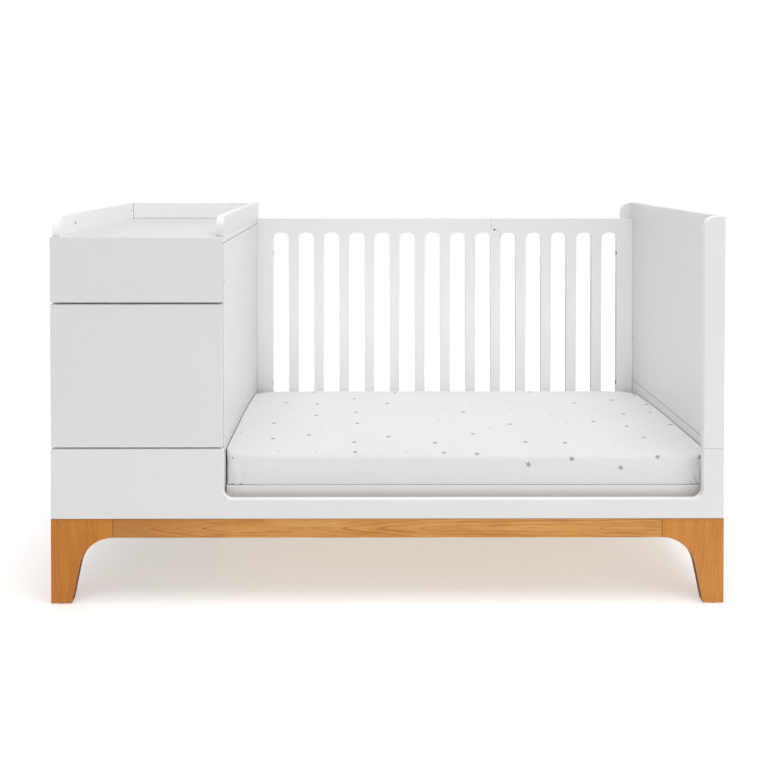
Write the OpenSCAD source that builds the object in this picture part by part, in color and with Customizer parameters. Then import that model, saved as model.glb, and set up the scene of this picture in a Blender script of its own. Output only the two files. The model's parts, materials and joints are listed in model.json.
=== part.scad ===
// Crib with an attached changer cabinet, in its day-bed state (front railing off).
// Millimetres. Origin: centre of the footprint, on the floor. +X is the crib end,
// the front faces -Y, +Z is up. Sub-parts are drawn in a corner frame, with x from
// the left face and y from the front face, and placed() shifts that to the origin.

/* [Mattress and bay] */
// Length of the mattress in its cover
mattress_l = 1216; // [1000:1:1400]
// Width of the mattress in its cover
mattress_w = 600; // [500:1:760]
// Thickness of the mattress at its crown
mattress_h = 80; // [60:1:120]
// Height by which the mattress top rises from its edge to its middle
mattress_crown = 5; // [2:0.5:12]
// Radius of the mattress's corners in plan
mattress_corner_r = 30; // [20:1:90]
// Clear space at each end of the mattress
mattress_end_gap = 2; // [1:0.5:12]
// Clear space along each side of the mattress
mattress_side_gap = 1.5; // [1:0.5:8]

/* [White boards] */
// Thickness of the white boards
board_t = 18; // [15:0.5:22]
// Height of the lower box, oak base to seam
lower_h = 173; // [150:1:230]
// Width of the changer cabinet
cabinet_w = 424; // [380:1:560]
// Height of the changer cabinet, seam to the changing surface
cabinet_h = 523; // [470:1:640]
// Thickness of the changing surface
top_t = 16; // [12:0.5:22]
// Height of the rims round the changing surface
rim_h = 51; // [30:1:90]
// Radius of the rims' front corners
rim_corner_r = 34; // [4:1:44]
// Thickness of the cabinet's back panel
back_t = 6; // [3:0.5:12]

/* [Cut-outs and posts] */
// Width of the corner posts at the crib end
post_w = 51; // [40:1:70]
// Radius of the posts' upper inner corners
post_corner_r = 29; // [10:1:38]
// Height of the panel strip left under the cut-outs
cut_sill_h = 47; // [40:1:60]
// Radius of the cut-outs' lower corners
cut_r = 24; // [10:1:40]
// Radius of the cut-outs' upper corner beside the cabinet
cut_lip_r = 7; // [3:1:12]
// Width of panel left beyond the cabinet side at the cut-outs
cut_reveal = 1; // [0.5:0.5:6]

/* [Oak base] */
// Height of the oak base, floor to the white box
oak_h = 211; // [180:1:240]
// Thickness of the oak boards
oak_t = 16; // [14:1:24]
// Height of the aprons
apron_h = 47; // [42:1:60]
// Width of the bracket legs at their top
leg_w = 153; // [130:1:180]
// Width of the feet on the floor
foot_w = 49; // [35:1:58]
// Radius of the curve from leg to apron
leg_curve_r = 82; // [60:1:90]
// Width of the small splay at the foot
foot_splay_w = 5; // [3:0.5:10]
// Height of the small splay at the foot
foot_splay_h = 9; // [5:0.5:14]
// Thickness of the leg glides
glide_t = 2; // [1:0.5:4]
// Radius of the leg glides
glide_r = 6.5; // [4:0.5:7]

/* [Back rail] */
// Thickness of the back rail
rail_t = 18; // [15:0.5:22]
// Number of slots
slot_count = 14; // [10:1:15]
// Width of a slot
slot_w = 50; // [45:0.5:55]
// Width of a slat
slat_w = 32; // [28:0.5:36]
// Height of the rail's top and bottom members
rail_member_h = 46; // [40:1:60]
// Radius of the slots' corners
slot_r = 19; // [8:1:22]
// Number of slots in the left section
left_slots = 9; // [6:1:9]
// Height of the upright part of the joint between the sections
joint_step_h = 27; // [18:1:30]
// Radius of the two curves of that joint
joint_r = 9; // [6:0.5:12]
// Depth of the rail's lower edge below the seam
rail_drop = 144; // [120:1:150]
// Height of the upper rail bolts above the seam
rail_bolt_up = 411; // [350:1:440]
// Depth of the lower rail bolts below the seam
rail_bolt_down = 12; // [11:0.5:20]

/* [Drawer and door] */
// Height of the drawer front
drawer_front_h = 161; // [140:1:190]
// Thickness of the drawer front and the door
front_t = 16; // [14:0.5:20]
// Gap between the fronts and the cabinet behind them
front_back_gap = 2; // [2:0.5:4]
// Gap between the drawer front and the door
front_mid_gap = 5; // [3:0.5:8]
// Gap under the door
front_low_gap = 4; // [2:0.5:6]
// Side reveal of the fronts
front_reveal = 0.5; // [0.5:0.5:3]
// Length of the drawer box, front to back
drawer_l = 480; // [440:1:540]
// Height of the drawer box's sides
drawer_side_h = 100; // [70:1:104]
// Thickness of the drawer box's boards
drawer_t = 12; // [10:0.5:15]
// Thickness of the drawer bottom
drawer_bottom_t = 6; // [4:0.5:9]
// Space for a runner beside the drawer box
runner_w = 12.7; // [12:0.1:14]
// Height of the runners
runner_h = 45; // [40:1:50]
// Length of the runners
runner_l = 440; // [400:1:460]
// Height of the shelf's underside above the cupboard floor
shelf_z = 158; // [110:1:200]

/* [Mattress base] */
// Height of the base frame's rails
base_rail_h = 50; // [40:1:70]
// Thickness of the base frame's rails
base_rail_t = 16; // [14:0.5:22]
// Clear space at each end of the base frame
base_end_gap = 3; // [1:0.5:6]
// Number of slats in the base
base_slat_count = 12; // [9:1:14]
// Width of a base slat
base_slat_w = 68; // [50:1:75]
// Thickness of a base slat
base_slat_t = 8; // [6:0.5:12]
// Height of the battens in the lower box
batten_h = 18; // [15:1:20]
// Width of those battens
batten_w = 22; // [18:1:30]
// Height above the seam of the middle support holes
level_mid_up = 18; // [12:1:40]
// Height above the seam of the top support holes
level_top_up = 141; // [100:1:160]
// Height above the seam of the lower spare hole in the end panel
spare_low_up = 196; // [180:1:240]
// Height above the seam of the upper spare hole in the end panel
spare_high_up = 382; // [300:1:400]

/* [Fixings] */
// Radius of the rail bolts' shafts
bolt_r = 3; // [2.5:0.25:4]
// Radius of the rail bolts' heads
bolt_head_r = 6.5; // [5.5:0.25:7.5]
// Height of the rail bolts' heads
bolt_head_h = 5; // [4:0.5:7]
// Radius of the threaded inserts
insert_r = 6; // [5:0.25:7]
// Length of the threaded inserts
insert_l = 13; // [10:0.5:14]
// Radius of the wood screws under the box
screw_r = 2.5; // [2:0.25:3]
// Radius of the shelf pins
pin_r = 2.5; // [2:0.25:3]
// Radius of the hinge cups
cup_r = 17.5; // [13:0.5:17.5]
// Height of the hinges' axes inside the door's ends
hinge_inset = 80; // [60:1:100]
// Radius of a latch plunger
plunger_r = 3.5; // [2.5:0.25:4]

/* [Hidden] */
$fn = 48;

// Colours
white = [0.91, 0.91, 0.90];
inner_white = [0.86, 0.86, 0.85];
oak = [0.78, 0.53, 0.26];
pine = [0.80, 0.72, 0.56];
steel = [0.62, 0.63, 0.65];
black_steel = [0.05, 0.05, 0.055];
nylon = [0.35, 0.35, 0.36];
cloth = [0.94, 0.93, 0.92];
birch = [0.84, 0.76, 0.62];

// Clearances
eps = 1;               // how far a cutter runs past a face
seat = 0.3;            // under a piece that rests on another
slip = 0.1;            // round a fixed screw, pin or insert
running = 0.06;        // round a sliding plunger
rail_back_gap = 1;     // between the back rail and the rear boards
joint_gap = 0.6;       // between the back rail's two sections
base_side_gap = 1;     // before and behind the mattress base

// Lengths, from the left face
bay_l = mattress_l + 2 * mattress_end_gap;
bay_x0 = cabinet_w;
bay_x1 = bay_x0 + bay_l;
body_l = bay_x1 + board_t;
cab_in0 = board_t;
cab_in1 = cabinet_w - board_t;

// Depths, from the front face
bay_y0 = board_t + rail_t;
rail_y0 = bay_y0 + mattress_w + 2 * mattress_side_gap;
rail_y1 = rail_y0 + rail_t;
rear_y0 = rail_y1 + rail_back_gap;
body_d = rear_y0 + board_t;
cab_y0 = front_t + front_back_gap;

// Heights, from the floor
apron_z0 = oak_h - apron_h;
seam_z = oak_h + lower_h;
top_z = seam_z + cabinet_h;
crown_z = top_z + rim_h;
side_z1 = top_z - top_t;
cut_z = oak_h + cut_sill_h;
floor_z1 = seam_z + board_t;

// Base frame
base_x0 = bay_x0 + base_end_gap;
base_x1 = bay_x1 - base_end_gap;
base_y0 = bay_y0 + base_side_gap;
base_y1 = rail_y0 - base_side_gap;
base_z0 = oak_h + batten_h + seat;
base_z1 = base_z0 + base_rail_h;
base_in_y0 = base_y0 + base_rail_t;
base_in_y1 = base_y1 - base_rail_t;
base_in_x0 = base_x0 + base_rail_t;
base_in_x1 = base_x1 - base_rail_t;
ledger_w = 18;
ledger_h = 20;

// Back rail
pitch = slot_w + slat_w;
stile_w = (bay_l - slot_count * slot_w - (slot_count - 1) * slat_w) / 2;
rail_z0 = seam_z - rail_drop;
slot_z0 = rail_z0 + rail_member_h;
slot_z1 = top_z - rail_member_h;
joint_x = bay_x0 + stile_w + left_slots * pitch - slat_w;  // left edge of the joint's slat
joint_inset = 2;                                           // seam inside that edge
rail_mid_y = rail_y0 + rail_t / 2;
front_rail_y = board_t + rail_t / 2;
bolt_zs = [seam_z - rail_bolt_down, seam_z + rail_bolt_up];
joint_pin_r = 3;
joint_pin_in = 1;                                          // axis beyond the joint's curve

// Support holes for the mattress base
level_hole_r = 3.5;
level_hole_l = 12;
level_edge = 5;          // from the bay's edge to the hole's axis
level_ys = [bay_y0 + level_edge, rail_y0 - level_edge];
level_zs = [seam_z + level_mid_up, seam_z + level_top_up];
end_hole_zs = [seam_z + spare_low_up, seam_z + spare_high_up];

// Drawer and door
drawer_front_z0 = top_z - drawer_front_h;
door_z0 = seam_z + front_low_gap;
door_z1 = drawer_front_z0 - front_mid_gap;
divider_mid_z = (drawer_front_z0 + door_z1) / 2;
divider_z0 = divider_mid_z - board_t / 2;
divider_z1 = divider_mid_z + board_t / 2;
front_x0 = front_reveal;
front_x1 = cabinet_w - front_reveal;
latch_h = 10;
latch_l = 60;
drawer_lift = 2.5;       // the drawer box above the latch
drawer_z0 = divider_z1 + latch_h + drawer_lift;
drawer_x0 = cab_in0 + runner_w;
drawer_x1 = cab_in1 - runner_w;
drawer_y0 = front_t;
drawer_y1 = drawer_y0 + drawer_l;
drawer_bottom_up = 8;    // from the sides' lower edge to the bottom panel
runner_mid_z = drawer_z0 + drawer_side_h / 2;
runner_wall = 1.2;
fitting_y0 = cab_y0 + 2; // runners and latches behind the cabinet's front edge
member_gap = 0.8;        // between nested runner members

// Hinges, latches and pins
cup_edge = 5;            // from the door's edge to the cup
cup_x = front_x0 + cup_edge + cup_r;
cup_floor = 4;           // door left in front of the cup
cup_wall = 1;
hinge_zs = [door_z0 + hinge_inset, door_z1 - hinge_inset];
hinge_plate_t = 4;
hinge_plate_l = 40;      // front to back
hinge_plate_half_h = 16;
hinge_plate_in = 19;     // behind the cabinet's front edge
hinge_arm_w = 10;
hinge_arm_half_h = 6;
hinge_arm_in = 55;       // its rear end behind the cabinet's front edge
hinge_arm_play = 4;      // its tip behind the cup's floor
latch_w = 10;
latch_end_wall = 5;
plunger_tip_y = front_t + seat;
latch_inset = 40;        // the door's latch inside the cabinet's right side
door_latch_x = cab_in1 - latch_inset;
drawer_latch_x = cabinet_w / 2;
shelf_t = 16;
shelf_gap = 1;
shelf_setback = 22;      // behind the cabinet's front edge
shelf_back_gap = 12;     // before the back panel
shelf_y0 = cab_y0 + shelf_setback;
shelf_y1 = body_d - back_t - shelf_back_gap;
pin_inset = 50;          // pin rows inside the shelf's front and rear edges
pin_ys = [shelf_y0 + pin_inset, shelf_y1 - pin_inset];
pin_in = 10;
pin_out = 8;
pin_pitch = 32;
pin_steps = 2;           // spare holes above and below the shelf's own
rim_screw_r = 3.5;
rim_screw_l = 8;
rim_screw_front = 113;   // behind the rims' front ends
rim_screw_rear = 24;     // before the rear rim
rim_screw_ys = [cab_y0 + rim_screw_front, rear_y0 - rim_screw_rear];

// ---------- helpers ----------

// A box between two opposite corners
module slab(low, high) {
    translate(low) cube(high - low);
}

// An outline in x and z, given thickness t from y0 backwards
module plate_xz(y0, t) {
    translate([0, y0 + t, 0]) rotate([90, 0, 0]) linear_extrude(t) children();
}

// An outline in y and z, given thickness t from x0 to the right
module plate_yz(x0, t) {
    translate([x0, 0, 0]) rotate([90, 0, 90]) linear_extrude(t) children();
}

// A rectangle between two opposite corners
module rect(low, high) {
    translate(low) square(high - low);
}

// Round bars along each axis
module bar_x(r, x0, x1, y, z) {
    translate([x0, y, z]) rotate([0, 90, 0]) cylinder(r = r, h = x1 - x0);
}

module bar_y(r, y0, y1, x, z) {
    translate([x, y0, z]) rotate([-90, 0, 0]) cylinder(r = r, h = y1 - y0);
}

module bar_z(r, z0, z1, x, y) {
    translate([x, y, z0]) cylinder(r = r, h = z1 - z0);
}

// What rounds a square corner: the corner at p, its material towards -dir
module corner_waste(p, dir, r) {
    difference() {
        rect([min(p.x, p.x - dir.x * r), min(p.y, p.y - dir.y * r)],
             [max(p.x + dir.x * eps, p.x - dir.x * r), max(p.y + dir.y * eps, p.y - dir.y * r)]);
        translate(p - dir * r) circle(r);
    }
}

// A rectangle with all four corners round
module round_rect(low, high, r) {
    rect([low.x + r, low.y], [high.x - r, high.y]);
    rect([low.x, low.y + r], [high.x, high.y - r]);
    for (x = [low.x + r, high.x - r], y = [low.y + r, high.y - r])
        translate([x, y]) circle(r);
}

// From the corner frame to the origin
module placed() {
    translate([-body_l / 2, -body_d / 2, 0]) children();
}

// The same thing in all four corners of the footprint
module four_corners() {
    for (sx = [0, 1], sy = [0, 1])
        mirror([sx, 0, 0]) mirror([0, sy, 0]) placed() children();
}

// ---------- oak base ----------

// Bracket leg outline: u from the corner, z from the floor
module leg_outline() {
    centre = [leg_w, apron_z0 - leg_curve_r];
    heel = [foot_w + foot_splay_w, foot_splay_h];
    reach = centre - heel;
    lean = atan2(reach.y, reach.x) + asin(leg_curve_r / norm(reach));
    run = sqrt(norm(reach) * norm(reach) - leg_curve_r * leg_curve_r);
    touch = heel + run * [cos(lean), sin(lean)];
    difference() {
        rect([0, glide_t], [leg_w, oak_h]);
        polygon([[foot_w, 0], heel, touch, centre, [leg_w + eps, centre.y], [leg_w + eps, 0]]);
        translate(centre) circle(leg_curve_r, $fn = 96);
    }
}

module leg() {
    color(oak) {
        plate_xz(0, oak_t) leg_outline();
        plate_yz(0, oak_t) leg_outline();
    }
}

module leg_front_left() placed() leg();
module leg_front_right() mirror([1, 0, 0]) placed() leg();
module leg_rear_left() mirror([0, 1, 0]) placed() leg();
module leg_rear_right() mirror([1, 0, 0]) mirror([0, 1, 0]) placed() leg();

module long_apron() {
    color(oak) slab([leg_w, 0, apron_z0], [body_l - leg_w, oak_t, oak_h]);
}

module short_apron() {
    color(oak) slab([0, leg_w, apron_z0], [oak_t, body_d - leg_w, oak_h]);
}

module apron_front() placed() long_apron();
module apron_rear() mirror([0, 1, 0]) placed() long_apron();
module apron_left() placed() short_apron();
module apron_right() mirror([1, 0, 0]) placed() short_apron();

block_leg = 50;
block_h = 40;
bar_w = 40;
bar_xs = [bay_x0 - board_t / 2, (bay_x0 + bay_x1) / 2];
screw_inset = 18;        // behind the oak boards
corner_screw_in = 15;    // the same for the corner screws, so that they meet the battens
corner_screw = [oak_t + screw_inset, oak_t + corner_screw_in];
screw_up = 16;           // how far the screws reach into what they hold
screw_ys = [oak_t + screw_inset, body_d - oak_t - screw_inset];

module base_crossbars() placed() color(pine) {
    for (x = bar_xs) difference() {
        slab([x - bar_w / 2, oak_t, oak_h - block_h], [x + bar_w / 2, body_d - oak_t, oak_h]);
        for (y = screw_ys) bar_z(screw_r + slip, oak_h - block_h - eps, oak_h + eps, x, y);
    }
}

module corner_blocks() color(pine) four_corners() difference() {
    translate([oak_t, oak_t, oak_h - block_h])
        linear_extrude(block_h) polygon([[0, 0], [block_leg, 0], [0, block_leg]]);
    bar_z(screw_r + slip, oak_h - block_h - eps, oak_h + eps, corner_screw.x, corner_screw.y);
}

module leg_glides() color(nylon) four_corners()
    bar_z(glide_r, 0, glide_t, foot_w / 2, oak_t / 2);

// One wood screw, driven up from z
module wood_screw(x, y, z) {
    head_r = 2 * screw_r;
    head_h = screw_r;
    bar_z(head_r, z - head_h, z, x, y);
    bar_z(screw_r, z - head_h, oak_h + screw_up, x, y);
}

module base_screws() color(steel) {
    four_corners() wood_screw(corner_screw.x, corner_screw.y, oak_h - block_h);
    placed() for (x = bar_xs, y = screw_ys) wood_screw(x, y, oak_h - block_h);
}

// Pilot holes for those screws in what stands on the base
module screw_pilots() {
    for (x = bar_xs, y = screw_ys)
        bar_z(screw_r + slip, oak_h - eps, oak_h + screw_up + slip, x, y);
    for (x = [corner_screw.x, body_l - corner_screw.x])
        for (y = [corner_screw.y, body_d - corner_screw.y])
            bar_z(screw_r + slip, oak_h - eps, oak_h + screw_up + slip, x, y);
}

// ---------- lower box ----------

// The front and rear panels, with the broad cut-out beside the cabinet
module cut_panel_outline() {
    x0 = bay_x0 + cut_reveal;
    x1 = body_l - post_w;
    difference() {
        rect([0, oak_h], [body_l, seam_z]);
        rect([x0, cut_z + cut_r], [x1, seam_z + eps]);
        rect([x0 + cut_r, cut_z], [x1 - cut_r, seam_z]);
        for (x = [x0 + cut_r, x1 - cut_r]) translate([x, cut_z + cut_r]) circle(cut_r);
        corner_waste([x0, seam_z], [1, 1], cut_lip_r);
    }
}

module lower_front_panel() placed() color(white) plate_xz(0, board_t) cut_panel_outline();
module lower_rear_panel() placed() color(white) plate_xz(rear_y0, board_t) cut_panel_outline();

// Blind holes for the rail bolts' inserts, cut from a face at x towards dir
module insert_holes(x, dir, zs) {
    for (y = [front_rail_y, rail_mid_y], z = zs)
        bar_x(insert_r + slip, min(x - dir * eps, x + dir * (insert_l + slip)),
              max(x - dir * eps, x + dir * (insert_l + slip)), y, z);
}

// Blind holes for the base's support bolts, cut the same way
module level_holes(x, dir) {
    for (y = level_ys, z = level_zs)
        bar_x(level_hole_r, min(x - dir * eps, x + dir * level_hole_l),
              max(x - dir * eps, x + dir * level_hole_l), y, z);
}

module lower_left_panel() placed() color(white)
    slab([0, board_t, oak_h], [board_t, rear_y0, seam_z]);

module lower_right_panel() placed() color(white) difference() {
    slab([bay_x1, board_t, oak_h], [body_l, rear_y0, seam_z]);
    insert_holes(bay_x1, 1, [bolt_zs[0]]);
}

module lower_divider() placed() color(white) difference() {
    slab([cab_in1, board_t, oak_h], [bay_x0, rear_y0, seam_z]);
    insert_holes(bay_x0, -1, [bolt_zs[0]]);
    screw_pilots();
}

module lower_battens() placed() color(pine) difference() {
    for (y = [board_t, rear_y0 - batten_w], span = [[cab_in0, cab_in1], [bay_x0, bay_x1]])
        slab([span[0], y, oak_h], [span[1], y + batten_w, oak_h + batten_h]);
    screw_pilots();
}

// ---------- mattress base and mattress ----------

module base_long_rail(y) {
    slab([base_x0, y, base_z0], [base_x1, y + base_rail_t, base_z1]);
}

module base_end(x) {
    slab([x, base_in_y0, base_z0], [x + base_rail_t, base_in_y1, base_z1]);
}

module base_rail_front() placed() color(inner_white) base_long_rail(base_y0);
module base_rail_rear() placed() color(inner_white) base_long_rail(base_in_y1);
module base_end_left() placed() color(inner_white) base_end(base_x0);
module base_end_right() placed() color(inner_white) base_end(base_in_x1);

module base_ledgers() placed() color(birch)
    for (y = [base_in_y0, base_in_y1 - ledger_w])
        slab([base_in_x0, y, base_z1 - base_slat_t - ledger_h],
             [base_in_x1, y + ledger_w, base_z1 - base_slat_t]);

module base_slats() placed() color(birch) {
    gap = (base_in_x1 - base_in_x0 - base_slat_count * base_slat_w) / (base_slat_count + 1);
    for (i = [0 : base_slat_count - 1]) {
        x = base_in_x0 + gap + i * (base_slat_w + gap);
        slab([x, base_in_y0 + seat, base_z1 - base_slat_t],
             [x + base_slat_w, base_in_y1 - seat, base_z1]);
    }
}

// Points round a rectangle with round corners, counter-clockwise
arc_steps = 6;
edge_steps = 3;
function ring_outline(l, w, r) = [
    for (k = [0 : 3])
        let (centre = [(k == 0 || k == 3 ? 1 : -1) * (l / 2 - r), (k < 2 ? 1 : -1) * (w / 2 - r)],
             next = [(k == 0 || k == 1 ? -1 : 1) * (l / 2 - r), (k == 0 || k == 3 ? 1 : -1) * (w / 2 - r)],
             last = centre + r * [cos(90 * (k + 1)), sin(90 * (k + 1))],
             first = next + r * [cos(90 * (k + 1)), sin(90 * (k + 1))])
        each concat(
            [for (i = [0 : arc_steps])
                centre + r * [cos(90 * (k + i / arc_steps)), sin(90 * (k + i / arc_steps))]],
            [for (j = [1 : edge_steps]) last + (first - last) * j / (edge_steps + 1)])
];

// Mattress: rings from the underside up the drawn-in side and over the crown.
// Each ring is [inset from the outline, height].
edge_round = 14;
side_draw = 3;
mattress_edge_z = mattress_h - mattress_crown;
crown_steps = 6;
crown_power = 2.2;       // how flat the middle is: 1 gives a straight slope
mattress_rings = concat(
    [for (a = [0 : 22.5 : 90]) [edge_round * (1 - sin(a)), edge_round * (1 - cos(a))]],
    [for (s = [0.2 : 0.2 : 0.8])
        [side_draw * sin(180 * s), edge_round + s * (mattress_edge_z - 2 * edge_round)]],
    [for (a = [0 : 22.5 : 90])
        [edge_round * (1 - cos(a)), mattress_edge_z - edge_round * (1 - sin(a))]],
    [for (i = [1 : crown_steps])
        let (s = i / (crown_steps + 1), d = edge_round + s * (mattress_w / 2 - edge_round))
        [d, mattress_h - mattress_crown * pow(1 - s, crown_power)]]
);

module mattress() placed() color(cloth)
    translate([(bay_x0 + bay_x1) / 2, (bay_y0 + rail_y0) / 2, base_z1 + seat]) {
        n = 4 * (arc_steps + 1 + edge_steps);
        rings = len(mattress_rings);
        points = concat(
            [for (ring = mattress_rings)
                for (p = ring_outline(mattress_l - 2 * ring[0], mattress_w - 2 * ring[0],
                                      max(mattress_corner_r - ring[0], 2)))
                    [p.x, p.y, ring[1]]],
            [[0, 0, 0], [0, 0, mattress_h]]);
        sides = [for (k = [0 : rings - 2], i = [0 : n - 1])
            let (a = k * n + i, b = k * n + (i + 1) % n)
            each [[a, a + n, b], [b, a + n, b + n]]];
        under = [for (i = [0 : n - 1]) [rings * n, i, (i + 1) % n]];
        over = [for (i = [0 : n - 1])
            [rings * n + 1, (rings - 1) * n + (i + 1) % n, (rings - 1) * n + i]];
        polyhedron(points = points, faces = concat(sides, under, over));
    }

// ---------- crib end and back rail ----------

module end_panel() placed() color(white) difference() {
    slab([bay_x1, board_t, seam_z], [body_l, rear_y0, crown_z]);
    insert_holes(bay_x1, 1, [bolt_zs[1]]);
    level_holes(bay_x1, 1);
    for (z = end_hole_zs) bar_x(level_hole_r, bay_x1 - eps, bay_x1 + level_hole_l, level_ys[1], z);
}

module post_outline() {
    difference() {
        rect([body_l - post_w, seam_z], [body_l, crown_z]);
        corner_waste([body_l - post_w, crown_z], [-1, 1], post_corner_r);
    }
}

module end_post_front() placed() color(white) plate_xz(0, board_t) post_outline();
module end_post_rear() placed() color(white) plate_xz(rear_y0, board_t) post_outline();

module rail_outline() {
    difference() {
        rect([bay_x0 + seat, rail_z0], [bay_x1 - seat, top_z]);
        for (i = [0 : slot_count - 1]) {
            x = bay_x0 + stile_w + i * pitch;
            round_rect([x, slot_z0], [x + slot_w, slot_z1], slot_r);
        }
    }
}

// The right section's share at the top joint, grown by g: it laps over the slat
// down an upright step and a double curve
module lap_share(g) {
    x0 = joint_x + joint_inset - g;
    x1 = joint_x + slat_w;
    z0 = top_z - joint_step_h - joint_r - g;
    difference() {
        rect([x0, z0], [bay_x1 + eps, top_z + eps]);
        corner_waste([x0, z0], [-1, -1], joint_r + g);
    }
    rect([x1 - g, (rail_z0 + top_z) / 2 - eps], [bay_x1 + eps, z0 + eps]);
    difference() {
        rect([x1 - joint_r, z0 + g - joint_r], [x1, z0 + eps]);
        translate([x1 - joint_r, z0 + g - joint_r]) circle(joint_r - g);
    }
}

// Both joints: the lower one is the upper one mirrored
module right_share(g) {
    lap_share(g);
    translate([0, rail_z0 + top_z]) mirror([0, 1]) lap_share(g);
}

joint_pin_x = joint_x + joint_inset + joint_r + joint_pin_in;
joint_pin_zs = [rail_z0 + joint_step_h + joint_r, top_z - joint_step_h - joint_r];

module joint_pin_holes() {
    for (z = joint_pin_zs) bar_y(joint_pin_r + slip, rail_y0 - eps, rail_y1 + eps, joint_pin_x, z);
}

// Clearance holes for the rail bolts, counterbored from the first and last slots
module stile_bolt_holes() {
    for (z = bolt_zs) {
        bar_x(bolt_r + slip, bay_x0 - eps, bay_x1 + eps, rail_mid_y, z);
        bar_x(bolt_head_r + slip, bay_x0 + stile_w - bolt_head_h, bay_x1 - stile_w + bolt_head_h,
              rail_mid_y, z);
    }
}

// The same holes, kept to the two stiles
module left_stile_holes() intersection() {
    stile_bolt_holes();
    slab([bay_x0 - eps, rail_y0, rail_z0], [bay_x0 + stile_w + eps, rail_y1, top_z]);
}

module right_stile_holes() intersection() {
    stile_bolt_holes();
    slab([bay_x1 - stile_w - eps, rail_y0, rail_z0], [bay_x1 + eps, rail_y1, top_z]);
}

module back_rail_left() placed() color(white) difference() {
    plate_xz(rail_y0, rail_t) difference() {
        rail_outline();
        right_share(joint_gap);
    }
    left_stile_holes();
    joint_pin_holes();
}

module back_rail_right() placed() color(white) difference() {
    plate_xz(rail_y0, rail_t) intersection() {
        rail_outline();
        right_share(0);
    }
    right_stile_holes();
    joint_pin_holes();
}

module rail_joint_pins() placed() color(black_steel)
    for (z = joint_pin_zs) bar_y(joint_pin_r, rail_y0 + seat, rail_y1, joint_pin_x, z);

socket_share = 0.9;      // the socket's radius over the shaft's

// A hexagon-socket bolt from a slot into the board beyond the stile
module rail_bolt(x_head, dir, z) {
    difference() {
        union() {
            bar_x(bolt_head_r, min(x_head, x_head - dir * (bolt_head_h - slip)),
                  max(x_head, x_head - dir * (bolt_head_h - slip)), rail_mid_y, z);
            bar_x(bolt_r, min(x_head, x_head - dir * (stile_w + insert_l - slip)),
                  max(x_head, x_head - dir * (stile_w + insert_l - slip)), rail_mid_y, z);
        }
        translate([x_head, rail_mid_y, z]) rotate([0, 90, 0])
            cylinder(r = bolt_r * socket_share, h = bolt_head_h, center = true, $fn = 6);
    }
}

module rail_bolts() placed() color(black_steel)
    for (z = bolt_zs) {
        rail_bolt(bay_x0 + stile_w, 1, z);
        rail_bolt(bay_x1 - stile_w, -1, z);
    }

module threaded_inserts() placed() color(steel)
    for (y = [front_rail_y, rail_mid_y], z = bolt_zs, x = [bay_x0 - insert_l, bay_x1])
        difference() {
            bar_x(insert_r, x, x + insert_l, y, z);
            bar_x(bolt_r + slip, x - eps, x + insert_l + eps, y, z);
        }

// ---------- cabinet ----------

// Rows of holes for the shelf pins, cut from a face at x towards dir
module shelf_pin_holes(x, dir) {
    for (y = pin_ys, step = [-pin_steps : pin_steps])
        bar_x(pin_r + slip, min(x - dir * eps, x + dir * (pin_in + slip)),
              max(x - dir * eps, x + dir * (pin_in + slip)),
              y, floor_z1 + shelf_z - pin_r - slip + step * pin_pitch);
}

module cabinet_side_left() placed() color(white) difference() {
    slab([0, cab_y0, seam_z], [board_t, body_d, side_z1]);
    shelf_pin_holes(cab_in0, -1);
}

module cabinet_side_right() placed() color(white) difference() {
    slab([cab_in1, cab_y0, seam_z], [cabinet_w, body_d, side_z1]);
    insert_holes(cabinet_w, -1, [bolt_zs[1]]);
    level_holes(cabinet_w, -1);
    shelf_pin_holes(cab_in1, 1);
}

module cabinet_back() placed() color(inner_white)
    slab([cab_in0, body_d - back_t, seam_z], [cab_in1, body_d, side_z1]);

module cabinet_bottom() placed() color(inner_white)
    slab([cab_in0, cab_y0, seam_z], [cab_in1, body_d - back_t, floor_z1]);

module cabinet_divider() placed() color(inner_white)
    slab([cab_in0, cab_y0, divider_z0], [cab_in1, body_d - back_t, divider_z1]);

module cabinet_top() placed() color(white)
    slab([0, cab_y0, side_z1], [cabinet_w, body_d, top_z]);

module side_rim(x, screw_face, dir) {
    difference() {
        plate_yz(x, board_t) difference() {
            rect([cab_y0, top_z], [body_d, crown_z]);
            corner_waste([cab_y0, crown_z], [-1, 1], rim_corner_r);
        }
        for (y = rim_screw_ys)
            bar_x(rim_screw_r + slip, min(screw_face + eps * dir, screw_face - dir * rim_screw_l),
                  max(screw_face + eps * dir, screw_face - dir * rim_screw_l), y, top_z + rim_h / 2);
    }
}

module rim_left() placed() color(white) side_rim(0, cab_in0, 1);
module rim_right() placed() color(white) side_rim(cab_in1, cab_in1, -1);
module rim_back() placed() color(white)
    slab([cab_in0, rear_y0, top_z], [cab_in1, body_d, crown_z]);

module rim_screws() placed() color(black_steel)
    for (y = rim_screw_ys, x = [cab_in0 - rim_screw_l + slip, cab_in1 + seat])
        bar_x(rim_screw_r, x, x + rim_screw_l - slip - seat, y, top_z + rim_h / 2);

module shelf() placed() color(inner_white)
    slab([cab_in0 + shelf_gap, shelf_y0, floor_z1 + shelf_z],
         [cab_in1 - shelf_gap, shelf_y1, floor_z1 + shelf_z + shelf_t]);

module shelf_pins() placed() color(steel)
    for (y = pin_ys, x = [cab_in0 - pin_in, cab_in1 - pin_out])
        bar_x(pin_r, x, x + pin_in + pin_out, y, floor_z1 + shelf_z - pin_r - slip);

// ---------- drawer ----------

module drawer_front() placed() color(white)
    slab([front_x0, 0, drawer_front_z0], [front_x1, front_t, top_z]);

module drawer_side(x) {
    slab([x, drawer_y0, drawer_z0], [x + drawer_t, drawer_y1, drawer_z0 + drawer_side_h]);
}

module drawer_cross(y) {
    slab([drawer_x0 + drawer_t, y, drawer_z0],
         [drawer_x1 - drawer_t, y + drawer_t, drawer_z0 + drawer_side_h]);
}

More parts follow.
